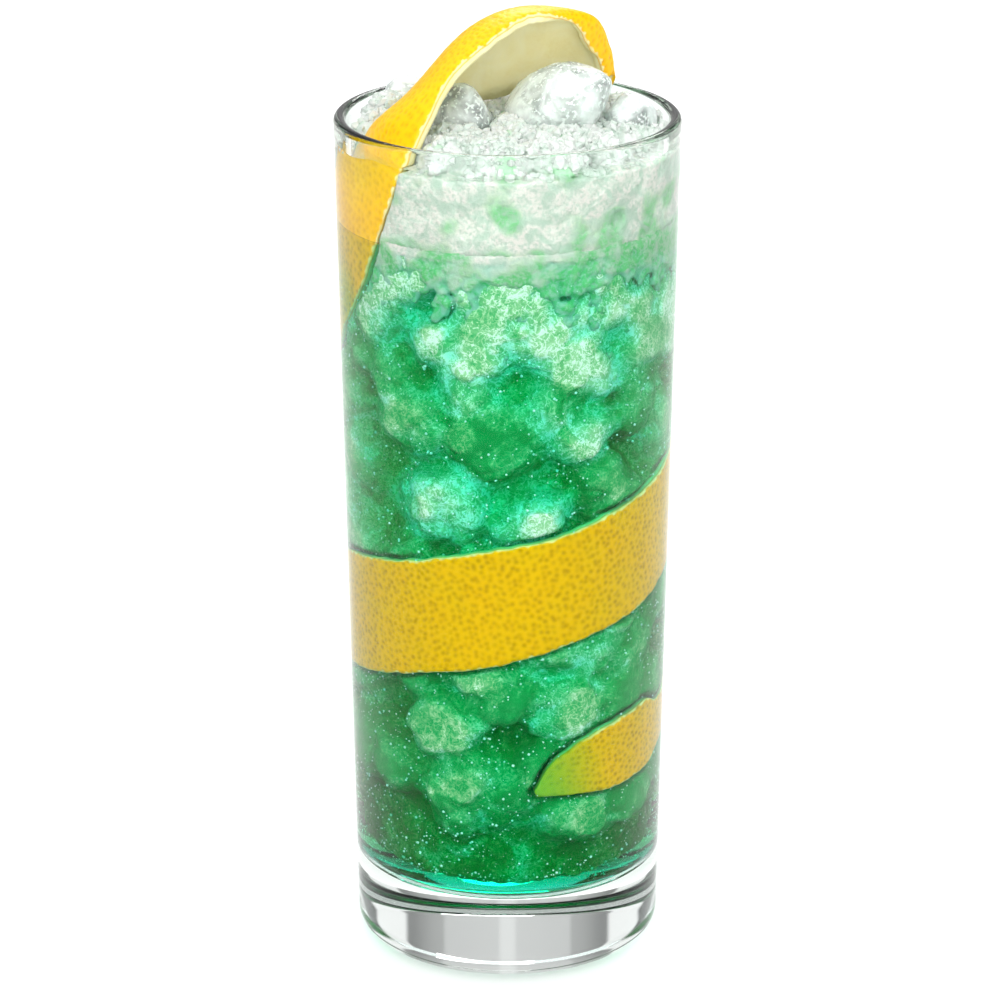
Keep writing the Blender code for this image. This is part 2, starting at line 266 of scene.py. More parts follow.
def clear_body(name, tint, ior, glint, wave_mm, absorbs=None, density=0.0):
    """A clear solid that bends light, lets the lamps through and colours what lies behind it by its depth."""
    made, tree, place = new_material(name)
    wave = add(tree, "ShaderNodeTexNoise", {"Vector": place, "Scale": 1000 / wave_mm, "Detail": 1.0})
    bump = add(tree, "ShaderNodeBump", {"Height": wave, "Distance": WAVE_HEIGHT, "Strength": 1.0})
    look = {"Base Color": tint, "Roughness": 0.0, "IOR": ior, "Specular Tint": grey(glint), "Normal": bump}
    shader = add(tree, "ShaderNodeBsdfPrincipled", {"Transmission Weight": 1.0, **look})
    path = add(tree, "ShaderNodeLightPath").outputs["Is Shadow Ray"]
    through = add(tree, "ShaderNodeBsdfTransparent", {"Color": WHITE})
    mix = add(tree, "ShaderNodeMixShader", {0: path, 1: shader, 2: through})
    ends = {"Surface": mix}
    if density:
        ends["Volume"] = add(tree, "ShaderNodeVolumeAbsorption", {"Color": absorbs, "Density": density})
    add(tree, "ShaderNodeOutputMaterial", ends)
    return made


def set_stops(ramp, stops):
    """Gives a colour ramp these stops, each a position and a colour."""
    elements = ramp.color_ramp.elements
    while len(elements) < len(stops):
        elements.new(0.5)
    for element, (position, colour) in zip(elements, stops):
        element.position = position
        element.color = colour


def frosted_ice(name, frost, stained, shading=1.0, depth=0.35):
    """Crushed ice wet with melt water: white inside with trapped air, glossy outside, clear in places."""
    made, tree, place = new_material(name)
    clear = add(tree, "ShaderNodeAttribute", attribute_name="clear").outputs["Fac"]
    broad = add(tree, "ShaderNodeTexNoise", {"Vector": place, "Scale": 160.0, "Detail": 3.0})
    look = {"Vector": place, "Scale": 1500.0, "Detail": 2.0, "Roughness": 0.6}
    fine = add(tree, "ShaderNodeTexNoise", look)
    mixed = add(tree, "ShaderNodeMath", {0: clear, 1: 1.1, 2: broad}, operation="MULTIPLY_ADD")
    limits = {"Value": mixed, "From Min": 0.62, "From Max": 1.12}
    amount = add(tree, "ShaderNodeMapRange", limits, interpolation_type="SMOOTHSTEP")
    ends = {0: amount, 6: tuple(frost), 7: tuple(stained)}
    plain = add(tree, "ShaderNodeMix", ends, data_type="RGBA")
    # Painted shade: between its fine grains, and in the hollows of its broad swells, the colour is darkened
    # as if shade lay there.
    limits = {"Value": fine, "From Min": 0.36, "From Max": 0.56, "To Min": 0.62 * shading, "To Max": 0.0}
    grain = add(tree, "ShaderNodeMapRange", limits)
    grain_shaded = add(tree, "ShaderNodeMix", {0: grain, 6: plain, 7: hex_colour("#B2CCBB")}, data_type="RGBA")
    look = {"Vector": place, "Scale": 210.0, "Detail": 2.0, "Distortion": 1.5}
    swell = add(tree, "ShaderNodeTexNoise", look)
    limits = {"Value": swell, "From Min": 0.38, "From Max": 0.56, "To Min": 0.75 * shading, "To Max": 0.0}
    shade = add(tree, "ShaderNodeMapRange", limits)
    colour = add(tree, "ShaderNodeMix", {0: shade, 6: grain_shaded, 7: hex_colour("#B5D0BE")}, data_type="RGBA")
    bump = add(tree, "ShaderNodeBump", {"Height": fine, "Distance": 0.0003, "Strength": 0.7})
    look = {"Base Color": colour, "Roughness": 0.28, "IOR": ICE_IOR, "Normal": bump}
    look.update({"Subsurface Weight": depth, "Subsurface Radius": (0.004, 0.005, 0.0045)})
    look.update({"Subsurface Scale": 1.0, "Transmission Weight": 0.4 * depth})
    look.update({"Coat Weight": 0.4, "Coat Roughness": 0.08})
    shader = add(tree, "ShaderNodeBsdfPrincipled", look)
    add(tree, "ShaderNodeOutputMaterial", {"Surface": shader})
    return made


# Meshes


def new_piece(name, mesh, finish):
    """The mesh as a piece of the drink: it rides on the one body and has a finish."""
    piece = bpy.data.objects.new(name, mesh)
    bpy.context.scene.collection.objects.link(piece)
    mesh.materials.clear()
    mesh.materials.append(finish)
    mesh.shade_smooth()
    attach(piece, "root")
    return piece


def mesh_of(name, points, faces):
    mesh = bpy.data.meshes.new(name)
    mesh.from_pydata(np.asarray(points).tolist(), [], np.asarray(faces).tolist() if len(faces) else [])
    mesh.update()
    return mesh


def set_values(mesh, name, values):
    """A named value for each point, which the finish reads."""
    attribute = mesh.attributes.new(name, "FLOAT", "POINT")
    attribute.data.foreach_set("value", np.asarray(values, np.float32))


def points_of(mesh):
    points = np.empty(len(mesh.vertices) * 3, np.float32)
    mesh.vertices.foreach_get("co", points)
    return points.reshape(-1, 3).astype(float)


def normals_of(mesh):
    normals = np.empty(len(mesh.vertices) * 3, np.float32)
    mesh.vertex_normals.foreach_get("vector", normals)
    return normals.reshape(-1, 3).astype(float)


def set_points(mesh, points):
    mesh.vertices.foreach_set("co", np.asarray(points, np.float32).ravel())
    mesh.update()


def turned(name, profile, steps=TURNED_STEPS):
    """A closed mesh turned about the Z axis from (radius, height) points, from the axis back to the axis."""
    ring = np.radians(np.arange(steps) * 360 / steps)
    points = [(0.0, 0.0, profile[0][1])]
    for radius, height in profile[1:-1]:
        points += [(radius * math.cos(a), radius * math.sin(a), height) for a in ring]
    points.append((0.0, 0.0, profile[-1][1]))
    rows = len(profile) - 2
    faces = []
    for j in range(steps):
        after = (j + 1) % steps
        faces.append((0, 1 + j, 1 + after))
        for i in range(rows - 1):
            low = 1 + i * steps
            faces.append((low + j, low + steps + j, low + steps + after, low + after))
        last = 1 + (rows - 1) * steps
        faces.append((last + j, len(points) - 1, last + after))
    mesh = bpy.data.meshes.new(name)
    mesh.from_pydata(points, [], faces)
    outwards(mesh)
    return mesh


def outwards(mesh):
    shape = bmesh.new()
    shape.from_mesh(mesh)
    bmesh.ops.recalc_face_normals(shape, faces=shape.faces)
    shape.to_mesh(mesh)
    shape.free()
    mesh.update()


def with_modifiers(mesh, *modifiers):
    """The mesh after these modifiers, each a kind and its settings."""
    holder = bpy.data.objects.new("shaping", mesh)
    bpy.context.scene.collection.objects.link(holder)
    for kind, settings in modifiers:
        modifier = holder.modifiers.new(kind, kind)
        for name, value in settings.items():
            setattr(modifier, name, value)
    graph = bpy.context.evaluated_depsgraph_get()
    graph.update()
    shaped = bpy.data.meshes.new_from_object(holder.evaluated_get(graph))
    bpy.data.objects.remove(holder)
    return shaped


def remeshed(mesh, voxel, smoothing):
    """The mesh as one even skin of small faces, smoothed a little."""
    grid = ("REMESH", {"mode": "VOXEL", "voxel_size": voxel})
    return with_modifiers(mesh, grid, ("SMOOTH", {"factor": 0.5, "iterations": smoothing}))


def chip_points(base, draw, chips=9, least=0.72, most=0.92):
    """A ball's points chipped flat on several sides, as an ice chunk is."""
    points = base.copy()
    for _ in range(chips):
        direction = np.array([draw.uniform(-1, 1) for _ in range(3)])
        direction /= np.linalg.norm(direction)
        over = points @ direction - draw.uniform(least, most)
        points -= np.outer(np.clip(over, 0, None) * 0.85, direction)
    return points


def ball(detail):
    shape = bmesh.new()
    bmesh.ops.create_icosphere(shape, subdivisions=detail, radius=1.0)
    points = np.array([v.co for v in shape.verts])
    faces = np.array([[v.index for v in f.verts] for f in shape.faces])
    shape.free()
    return points, faces


def random_turn(draw):
    angle = draw.uniform(0, math.tau)
    axis = Vector([draw.gauss(0, 1) for _ in range(3)]).normalized()
    return np.array(Matrix.Rotation(angle, 3, axis))


class Heap:
    """Many small bodies that become one mesh."""

    def __init__(self):
        self.points, self.faces, self.values, self.count = [], [], [], 0

    def add(self, points, faces, value=0.0):
        self.points.append(points)
        self.faces.append(faces + self.count)
        self.values.append(np.full(len(points), value))
        self.count += len(points)

    def mesh(self, name, value_name=None):
        made = mesh_of(name, np.concatenate(self.points), np.concatenate(self.faces))
        if value_name:
            set_values(made, value_name, np.concatenate(self.values))
        return made


def shards(points, size, seed):
    """For each point, its shard's own number and its distance from the shard's border.

    The shards of ice are cells of the given size; the distance is a share of that size.
    """
    table = np.random.default_rng(seed).random((4096, 4))
    at = points / size
    home = np.floor(at).astype(np.int64)
    first = np.full(len(at), 9.0)
    second = np.full(len(at), 9.0)
    own = np.zeros(len(at))
    for step in np.ndindex(3, 3, 3):
        cell = home + np.array(step) - 1
        code = (cell[:, 0] * 73856093 ^ cell[:, 1] * 19349663 ^ cell[:, 2] * 83492791) & 4095
        away = np.linalg.norm(cell + table[code, :3] - at, axis=1)
        nearer = away < first
        second = np.where(nearer, first, np.minimum(second, away))
        own = np.where(nearer, table[code, 3], own)
        first = np.where(nearer, away, first)
    return own, second - first


def wavered(points, size, amount):
    """The points moved about by a smooth noise, so that a pattern read there has uneven borders."""
    # Without a seed this noise is another one in each run.
    noise.seed_set(NOISE_SEED)
    return points + amount * np.array([noise.noise_vector(Vector(p) / size) for p in points])


def rounded(share):
    """0 to 1 with a slow start and end."""
    share = np.clip(share, 0, 1)
    return share * share * (3 - 2 * share)


# Lemon peel


def smooth_curve(knots, place):
    """The point at place, from 0 to the last knot's number, on a smooth curve through the knots."""
    last = len(knots) - 1
    index = min(int(place), last - 1)
    part = place - index
    here, after = knots[index], knots[index + 1]
    before = knots[index - 1] if index else 2 * here - after
    beyond = knots[index + 2] if index + 2 <= last else 2 * after - here
    return 0.5 * (
        2 * here
        + (after - before) * part
        + (2 * before - 5 * here + 4 * after - beyond) * part**2
        + (3 * here - before - 3 * after + beyond) * part**3
    )


def on_wall(azimuth, height):
    return around(azimuth, inner_radius(height) - PEEL_WALL_GAP, height)


def spiral_section(place):
    """Lower edge, middle and upper edge of the ribbon where it lies against the wall."""
    knots = np.array(PEEL_SPIRAL, float)
    azimuth, height, width = smooth_curve(knots, place)
    small = 0.02
    ahead = smooth_curve(knots, min(place + small, len(knots) - 1))
    behind = smooth_curve(knots, max(place - small, 0))
    radius = inner_radius(height) - PEEL_WALL_GAP
    run = math.radians(ahead[0] - behind[0]) * radius
    slope = math.atan2(ahead[1] - behind[1], run)
    aside = math.degrees(width / 2 * math.sin(slope) / radius)
    rise = width / 2 * math.cos(slope)
    return np.array(
        (
            on_wall(azimuth + aside, height - rise),
            on_wall(azimuth, height),
            on_wall(azimuth - aside, height + rise),
        )
    )


SPIRAL_KNOTS = len(PEEL_SPIRAL) - 1
ARCH = np.concatenate(([spiral_section(SPIRAL_KNOTS)], np.array(PEEL_ARCH)))


def ribbon_section(place):
    if place < SPIRAL_KNOTS:
        return spiral_section(place)
    return smooth_curve(ARCH, place - SPIRAL_KNOTS)


def ribbon_places():
    """Places along the ribbon that are an even distance apart, and that distance from the tail for each."""
    fine = np.linspace(0, SPIRAL_KNOTS + len(ARCH) - 1, 2400)
    middles = np.array([ribbon_section(p)[1] for p in fine])
    run = np.concatenate(([0], np.cumsum(np.linalg.norm(np.diff(middles, axis=0), axis=1))))
    distances = np.linspace(0, run[-1], int(run[-1] / PEEL_GRID))
    return np.interp(distances, run, fine), distances


def pores(along, across, seed):
    """How deep in a pore each point of the skin is, from 0 to 1; pores are pits about a cell apart."""
    rough = np.random.default_rng(seed)
    cell_a = np.floor(along / PORE_CELL).astype(int) + 2
    cell_b = np.floor(across / PORE_CELL).astype(int)
    low = cell_b.min() - 2
    jitter = rough.uniform(0.18, 0.82, (cell_a.max() + 4, cell_b.max() - low + 4, 2))
    size = rough.uniform(0.55, 1.15, jitter.shape[:2])
    deep = np.zeros(along.shape)
    for i in (-1, 0, 1):
        for j in (-1, 0, 1):
            a, b = cell_a + i, cell_b - low + j
            middle_a = (a - 2 + jitter[a, b, 0]) * PORE_CELL
            middle_b = (b + low + jitter[a, b, 1] + 0.5 * (a % 2)) * PORE_CELL
            distance = np.hypot(along - middle_a, across - middle_b) / PORE_CELL
            deep = np.maximum(deep, size[a, b] * np.exp(-((distance / 0.28) ** 2)))
    return deep


class Ribbon:
    """The peel's skin as a fine grid, with its normals and its distances along and across."""

    def __init__(self):
        places, distances = ribbon_places()
        rows, across_rows = [], []
        for place, distance in zip(places, distances):
            lower, middle, upper = ribbon_section(place)
            width = np.linalg.norm(upper - lower)
            spiral = min(place, SPIRAL_KNOTS) * PEEL_STEPS_PER_KNOT
            number = spiral + max(place - SPIRAL_KNOTS, 0) * PEEL_STEPS_PER_ARCH_KNOT
            wave = PEEL_EDGE_WAVE * math.sin(0.83 * number) * math.sin(0.31 * number)
            rough_low = 0.0003 * noise.noise((distance * 420, 1.3, 0.0))
            rough_high = 0.0003 * noise.noise((distance * 420, 7.7, 0.0))
            fade = min(width / 0.012, 1.0)
            u = np.linspace(-1, 1, PEEL_ACROSS + 1)
            reach_low = 1 + 2 * (wave + rough_low) * fade / max(width, 0.001)
            reach_high = 1 + 2 * (wave + rough_high) * fade / max(width, 0.001)
            across = np.where(u < 0, u * reach_low, u * reach_high)[:, None]
            points = lower * (across**2 - across) / 2
            points = points + middle * (1 - across**2) + upper * (across**2 + across) / 2
            rows.append(points)
            across_rows.append(across[:, 0] * width / 2)
        self.skin = np.array(rows)
        along_way = np.gradient(self.skin, axis=0)
        across_way = np.gradient(self.skin, axis=1)
        normal = np.cross(along_way, across_way)
        self.normal = normal / np.maximum(np.linalg.norm(normal, axis=2, keepdims=True), 1e-9)
        self.across = np.array(across_rows)
        self.along = np.repeat(distances[:, None], PEEL_ACROSS + 1, axis=1)


@functools.cache
def peel_ribbon():
    """The one ribbon, worked out once."""
    return Ribbon()


def skin_tree(depth=0.0):
    """Finds the nearest place on the ribbon, on its skin or at a depth below it."""
    ribbon = peel_ribbon()
    skin = (ribbon.skin - ribbon.normal * depth)[::3, ::5].reshape(-1, 3)
    tree = kdtree.KDTree(len(skin))
    for i, p in enumerate(skin):
        tree.insert(p, i)
    tree.balance()
    return tree


def ice_relief(at):
    """How far crushed ice stands out at a place: cracked into grains, on soft swells."""
    cells = noise.voronoi(at * 330)[0]
    crack = min((cells[1] - cells[0]) * 2.2, 1.0)
    return 0.00035 * (crack - 0.6) + 0.0005 * noise.noise(at * 190) + 0.00018 * noise.noise(at * 700)


def stain_height(at):
    """How far above the drink's level its green has crept up the ice: least in front, most at the right."""
    azimuth = math.atan2(at[0], -at[1])
    sideways = math.sin(azimuth) ** 2
    rightwards = max(0.0, math.cos(azimuth - math.radians(75))) ** 2
    return LEAST_STAIN + 0.006 * (sideways + rightwards)


# Settings that a user would change

COLOUR = {"subtype": "COLOR", "size": 4, "min": 0.0, "max": 1.0}


class HighballGlass(bpy.types.PropertyGroup):
    tint: bpy.props.FloatVectorProperty(
        name="Tint", description="Colour that the glass gives at each face", default=hex_colour("#F7FBF9"),
        **COLOUR,
    )
    steps: bpy.props.IntProperty(
        name="Steps round", description="Faces round the glass", default=TURNED_STEPS, min=48
    )


class HighballDrink(bpy.types.PropertyGroup):
    colour: bpy.props.FloatVectorProperty(
        name="Colour", description="Light that the drink lets through", default=hex_colour("#45F7EB"),
        **COLOUR,
    )
    density: bpy.props.FloatProperty(
        name="Density", description="How strongly the drink colours light, per metre", default=500.0, min=0.0
    )
    bubbles: bpy.props.IntProperty(name="Bubbles", description="Number of fine bubbles", default=9000, min=0)
    bubble_radius: bpy.props.FloatProperty(
        name="Bubble radius", description="Usual radius of a fine bubble", default=0.00013, subtype="DISTANCE"
    )


class HighballIce(bpy.types.PropertyGroup):
    frost: bpy.props.FloatVectorProperty(
        name="Frost", description="Colour of frosted ice", default=hex_colour("#EAE8E1"), **COLOUR
    )
    stained: bpy.props.FloatVectorProperty(
        name="Stained", description="Colour of ice that has drink in it", default=hex_colour("#84CE90"),
        **COLOUR,
    )
    chips: bpy.props.IntProperty(name="Chips", description="Chips of ice on the heap", default=4500, min=0)
    chip_size: bpy.props.FloatProperty(
        name="Chip size", description="Radius of a usual chip", default=0.0008, subtype="DISTANCE"
    )


class HighballPeel(bpy.types.PropertyGroup):
    skin: bpy.props.FloatVectorProperty(
        name="Skin", description="Colour of the lemon's skin", default=hex_colour("#FFCC00"), **COLOUR
    )
    soaked: bpy.props.FloatVectorProperty(
        name="Soaked skin", description="Colour of the skin in the drink", default=hex_colour("#F8B000"),
        **COLOUR,
    )
    pith: bpy.props.FloatVectorProperty(
        name="Pith", description="Colour of the pith", default=hex_colour("#FFF9CE"), **COLOUR
    )
    pore_depth: bpy.props.FloatProperty(
        name="Pore depth", description="Depth of the skin's pores", default=0.00016, subtype="DISTANCE"
    )


class HighballStage(bpy.types.PropertyGroup):
    light: bpy.props.FloatProperty(
        name="Light", description="Strength of the room's soft light", default=0.72, min=0.0
    )
    lamp: bpy.props.FloatProperty(
        name="Lamp", description="Power of the main lamp", default=4.0, min=0.0, unit="POWER"
    )


# Pieces


class HIGHBALL_OT_glass(bpy.types.Operator):
    """Makes the tall clear tumbler with its heavy base"""

    bl_idname = "highball.glass"
    bl_label = "Glass"

    def execute(self, context):
        settings = context.scene.highball_glass
        lip = WALL / 2
        floor_edge = inner_radius(FLOOR + FLOOR_CORNER) - FLOOR_CORNER
        foot_edge = outer_radius(FOOT_CORNER) - FOOT_CORNER
        profile = [(floor_edge * i / 6, FLOOR) for i in range(6)]
        profile += arc((floor_edge, FLOOR + FLOOR_CORNER), FLOOR_CORNER, -90, 0, 14)
        profile += arc((RIM_RADIUS - lip, HEIGHT - lip), lip, 180, 0, 18)
        profile += arc((foot_edge, FOOT_CORNER), FOOT_CORNER, 0, -90, 16)
        profile += [(RING_INNER_RADIUS, 0.0)]
        profile += [(RECESS_RADIUS * (6 - i) / 6, RECESS_DEPTH) for i in range(7)]
        # Soda-lime glass, machine pressed and fire polished: clear, with a green cast where it is thick.
        tint = tuple(settings.tint)
        finish = clear_body("fire-polished soda-lime glass", tint, GLASS_IOR, DRY_GLINT, GLASS_WAVE_MM)
        # Where the drink or melt water touches the glass, almost nothing glints.
        wetted = clear_body("soda-lime glass wetted by the drink", tint, GLASS_IOR, WET_GLINT, GLASS_WAVE_MM)
        piece = new_piece("tumbler", turned("tumbler", profile, settings.steps), finish)
        piece.data.materials.append(wetted)
        for face in piece.data.polygons:
            x, y, height = face.center
            inside = math.hypot(x, y) < inner_radius(height) + WALL / 12
            if inside and FLOOR - 0.0001 < height < MELT_TOP - 0.0015:
                face.material_index = 1
        piece.data.set_sharp_from_angle(angle=SHARP_ANGLE)
        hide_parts("glass")
        return {"FINISHED"}


class HIGHBALL_OT_drink(bpy.types.Operator):
    """Makes the green drink, which reaches just into the glass's wall"""

    bl_idname = "highball.drink"
    bl_label = "Drink"

    def execute(self, context):
        settings = context.scene.highball_drink
        bottom = FLOOR - INTO_WALL
        edge = inner_radius(bottom + FLOOR_CORNER) + INTO_WALL - FLOOR_CORNER
        profile = [(0.0, LEVEL), (inner_radius(LEVEL) + INTO_WALL, LEVEL)]
        profile += arc((edge, bottom + FLOOR_CORNER), FLOOR_CORNER, 0, -90, 14)
        profile += [(0.0, bottom)]
        # A clear syrup and spirit mix: its green deepens with the depth that the eye looks through.
        finish = clear_body(
            "clear green cocktail", WHITE, 1.34, WET_GLINT, 9.0, tuple(settings.colour), settings.density
        )
        piece = new_piece("green_drink", turned("green_drink", profile), finish)
        piece.data.set_sharp_from_angle(angle=SHARP_ANGLE)
        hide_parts("drink")
        return {"FINISHED"}


class HIGHBALL_OT_sunken_ice(bpy.types.Operator):
    """Packs the drink with half-melted ice lumps, cloudy where they touch the glass"""

    bl_idname = "highball.sunken_ice"
    bl_label = "Sunken ice"

    def execute(self, context):
        draw = random.Random(11)
        ball_points, ball_faces = ball(3)
        heap = Heap()
        lumps = self.lumps(draw)
        for middle, radius, cloud in lumps:
            stretch = np.array((draw.uniform(0.9, 1.1), draw.uniform(0.9, 1.1), draw.uniform(0.75, 1.05)))
            points = chip_points(ball_points, draw) * stretch * radius / 0.9
            heap.add(points @ random_turn(draw).T + middle, ball_faces)
        core = with_modifiers(turned("core", SUNKEN_CORE, 48), ("TRIANGULATE", {}))
        heap.add(points_of(core), np.array([p.vertices[:] for p in core.polygons]))
        mesh = remeshed(heap.mesh("sunken_ice"), SUNKEN_VOXEL, 20)
        points = points_of(mesh)
        normals = normals_of(mesh)
        own, border = shards(wavered(points, 0.006, 0.0025), SHARD_SIZE, 3)
        relief = 0.0005 * (rounded(border / 0.35) - 0.8) + 0.0006 * (own - 0.5)
        relief += 0.0003 * np.array([noise.noise(Vector(p) * 420) for p in points])
        points += normals * relief[:, None]
        self.fit(points)
        set_points(mesh, points)
        set_values(mesh, "cloud", self.cloudiness(points, lumps, own, border))
        new_piece("sunken_ice", mesh, self.finish())
        self.soaked_frost(context.scene.highball_ice)
        return {"FINISHED"}

    @staticmethod
    def lumps(draw):
        """Middle, radius and cloudiness of each lump: the chosen pale ones, then layers, then the top."""
        chosen = []
        for azimuth, height, radius, cloud in CLOUDY_LUMPS:
            chosen.append((around(azimuth, inner_radius(height) - radius * 0.93, height), radius, cloud))
        lumps = list(chosen)
        for layer in range(LUMP_LAYERS):
            for i in range(LUMPS_A_LAYER):
                azimuth = 360 * (i + 0.5 * (layer % 2) + draw.uniform(-0.3, 0.3)) / LUMPS_A_LAYER
                z = LOWEST_LAYER + layer * LAYER_STEP + draw.uniform(-0.004, 0.004)
                radius = draw.uniform(0.0062, 0.0095)
                middle = around(azimuth, inner_radius(z) - radius * 0.93 - draw.uniform(0.0, 0.0014), z)
                near = min(np.linalg.norm(middle - m) - r for m, r, c in chosen)
                cloud = draw.choice((0.0, 0.05, 0.15, 0.3, 0.45))
                if near > radius * 0.1:
                    lumps.append((middle, radius, cloud))
        for i in range(UPPER_LUMPS):
            azimuth = 360 * (i + draw.uniform(-0.3, 0.3)) / UPPER_LUMPS
            z = LEVEL - draw.uniform(0.004, 0.022)
            radius = draw.uniform(0.0045, 0.0075)
            middle = around(azimuth, inner_radius(z) - radius * 0.96, z)
            lumps.append((middle, radius, draw.uniform(0.2, 0.5)))
        return lumps

    @staticmethod
    def soaked_frost(settings):
        """The crushed ice just below the surface, which closes the drink's top and thins out below."""
        draw = random.Random(23)
        ball_points, ball_faces = ball(2)
        heap = Heap()
        places = []
        for i in range(FROST_RING):
            azimuth = 360 * (i + draw.uniform(-0.25, 0.25)) / FROST_RING
            places.append((azimuth, draw.uniform(0.0010, 0.0030), draw.uniform(0.0030, 0.0046)))
        for _ in range(FROST_CRUMBS):
            drop = min(draw.expovariate(1 / 0.0052), 0.03)
            places.append((draw.uniform(0, 360), drop, draw.uniform(0.0008, 0.0028) / (1 + drop / 0.010)))
        for azimuth, drop, radius in places:
            height = LEVEL - drop
            middle = around(azimuth, inner_radius(height) - radius * 0.75 - drop * 0.05, height)
            heap.add(chip_points(ball_points, draw) * radius @ random_turn(draw).T + middle, ball_faces)
        mesh = remeshed(heap.mesh("soaked_frost"), FROST_VOXEL, 2)
        points = points_of(mesh)
        normals = normals_of(mesh)
        tree = skin_tree()
        clear = np.zeros(len(points))
        for i, p in enumerate(points):
            at = Vector(p)
            relief = ice_relief(at)
            points[i] = p + normals[i] * relief
            wall = inner_radius(p[2])
            radius = math.hypot(points[i, 0], points[i, 1])
            on_glass = Vector((p[0] * wall / radius, p[1] * wall / radius, p[2]))
            most = wall + INTO_WALL * 0.6 - max(0.0, -relief)
            most -= BEHIND_PEEL * rounded(1 - (tree.find(on_glass)[2] - 0.0007) / 0.0009)
            at_wall = radius > wall - SIDE_DEPTH and most > wall - 0.0008
            if abs(p[2] - LEVEL) < 0.0008 and at_wall:
                # Just at the surface it closes the seam between the drink and the melt water above it.
                points[i, :2] *= (wall + INTO_WALL * 1.3) / radius
            elif radius > most:
                points[i, :2] *= most / radius
            points[i, 2] = min(points[i, 2], LEVEL + 0.0012)
            pocket = noise.noise(at * 110 + POCKET_SHIFT)
            clear[i] = pocket + 0.4 + 110 * (LEVEL - p[2]) + 50 * (stain_height(p) - LEAST_STAIN)
        set_points(mesh, points)
        set_values(mesh, "clear", clear)
        # The drink has soaked into it, so it goes from white to green within a few millimetres.
        finish = frosted_ice("crushed ice soaked in the drink", settings.frost, hex_colour("#60C478"))
        new_piece("soaked_frost", mesh, finish)

    @staticmethod
    def fit(points):
        """Keeps the ice behind the peel and just inside the wall."""
        tree = skin_tree()
        for i, p in enumerate(points):
            wall = inner_radius(p[2])
            radius = math.hypot(p[0], p[1])
            if radius < wall - 0.006:
                continue
            on_glass = Vector((p[0] * wall / radius, p[1] * wall / radius, p[2]))
            under = rounded(1 - (tree.find(on_glass)[2] - 0.0006) / 0.0010)
            most = wall - 0.0003 - BEHIND_PEEL * under
            if radius > most:
                points[i, :2] *= most / radius

    @staticmethod
    def cloudiness(points, lumps, own, border):
        """How pale the ice is: by its lump, paler along the lump's lower border, and paler near the top."""
        middles = np.array([m for m, r, c in lumps])
        radii = np.array([r for m, r, c in lumps])
        clouds = np.array([c for m, r, c in lumps])
        values = np.zeros(len(points))
        for start in range(0, len(points), 4000):
            part = points[start : start + 4000]
            offset = part[:, None] - middles[None]
            away = np.linalg.norm(offset, axis=2) / radii
            weight = np.exp(-(away**2) * 2.2)
            soft = (weight * clouds).sum(1) / (weight.sum(1) + 1e-6)
            near = away.argmin(1)
            rows = np.arange(len(part))
            down = -offset[rows, near, 2] / radii[near]
            others = np.sort(away, axis=1)[:, 1] - away.min(1)
            rim = np.exp(-((others / 0.22) ** 2)) * rounded((down + 0.1) / 0.6)
            # Some lumps are much paler along that border and others hardly at all.
            amount = rounded((middles[near, 0] * 9000 % 7) / 7 + 0.3)
            values[start : start + 4000] = soft + 0.45 * rim * amount
        values += 0.22 * (own - 0.5) + 0.12 * np.exp(-((border / 0.12) ** 2))
        top = np.clip((points[:, 2] - 0.108) / 0.039, 0, 1)
        low = np.clip((0.080 - points[:, 2]) / 0.045, 0, 1)
        return np.clip(values + 0.45 * top**1.4 - 0.30 * low, 0, 0.8)

    @staticmethod
    def finish():
        """Cloudy ice that has soaked in the drink: pale where it is full of air, green where it is clear,
        with painted glints.
        """
        made, tree, place = new_material("cloudy ice soaked in the drink")
        cloud = add(tree, "ShaderNodeAttribute", attribute_name="cloud").outputs["Fac"]
        look = {"Vector": place, "Scale": 120.0, "Detail": 5.0, "Roughness": 0.62, "Distortion": 1.6}
        broad = add(tree, "ShaderNodeTexNoise", look)
        look = {"Vector": place, "Scale": 1600.0, "Detail": 2.0, "Roughness": 0.6, "Distortion": 1.2}
        fine = add(tree, "ShaderNodeTexNoise", look)
        shift = add(tree, "ShaderNodeMath", {0: broad, 1: 0.5}, operation="SUBTRACT")
        cloudy = add(tree, "ShaderNodeMath", {0: shift, 1: 2.0, 2: cloud}, operation="MULTIPLY_ADD")
        # Crystals and trapped bubbles show as fine pale crinkles, more of them where the ice is cloudy; they
        # are partly the white of trapped air and partly painted glints.
        limits = {"Value": fine, "From Min": 0.50, "From Max": 0.66}
        crinkle = add(tree, "ShaderNodeMapRange", limits, interpolation_type="SMOOTHSTEP")
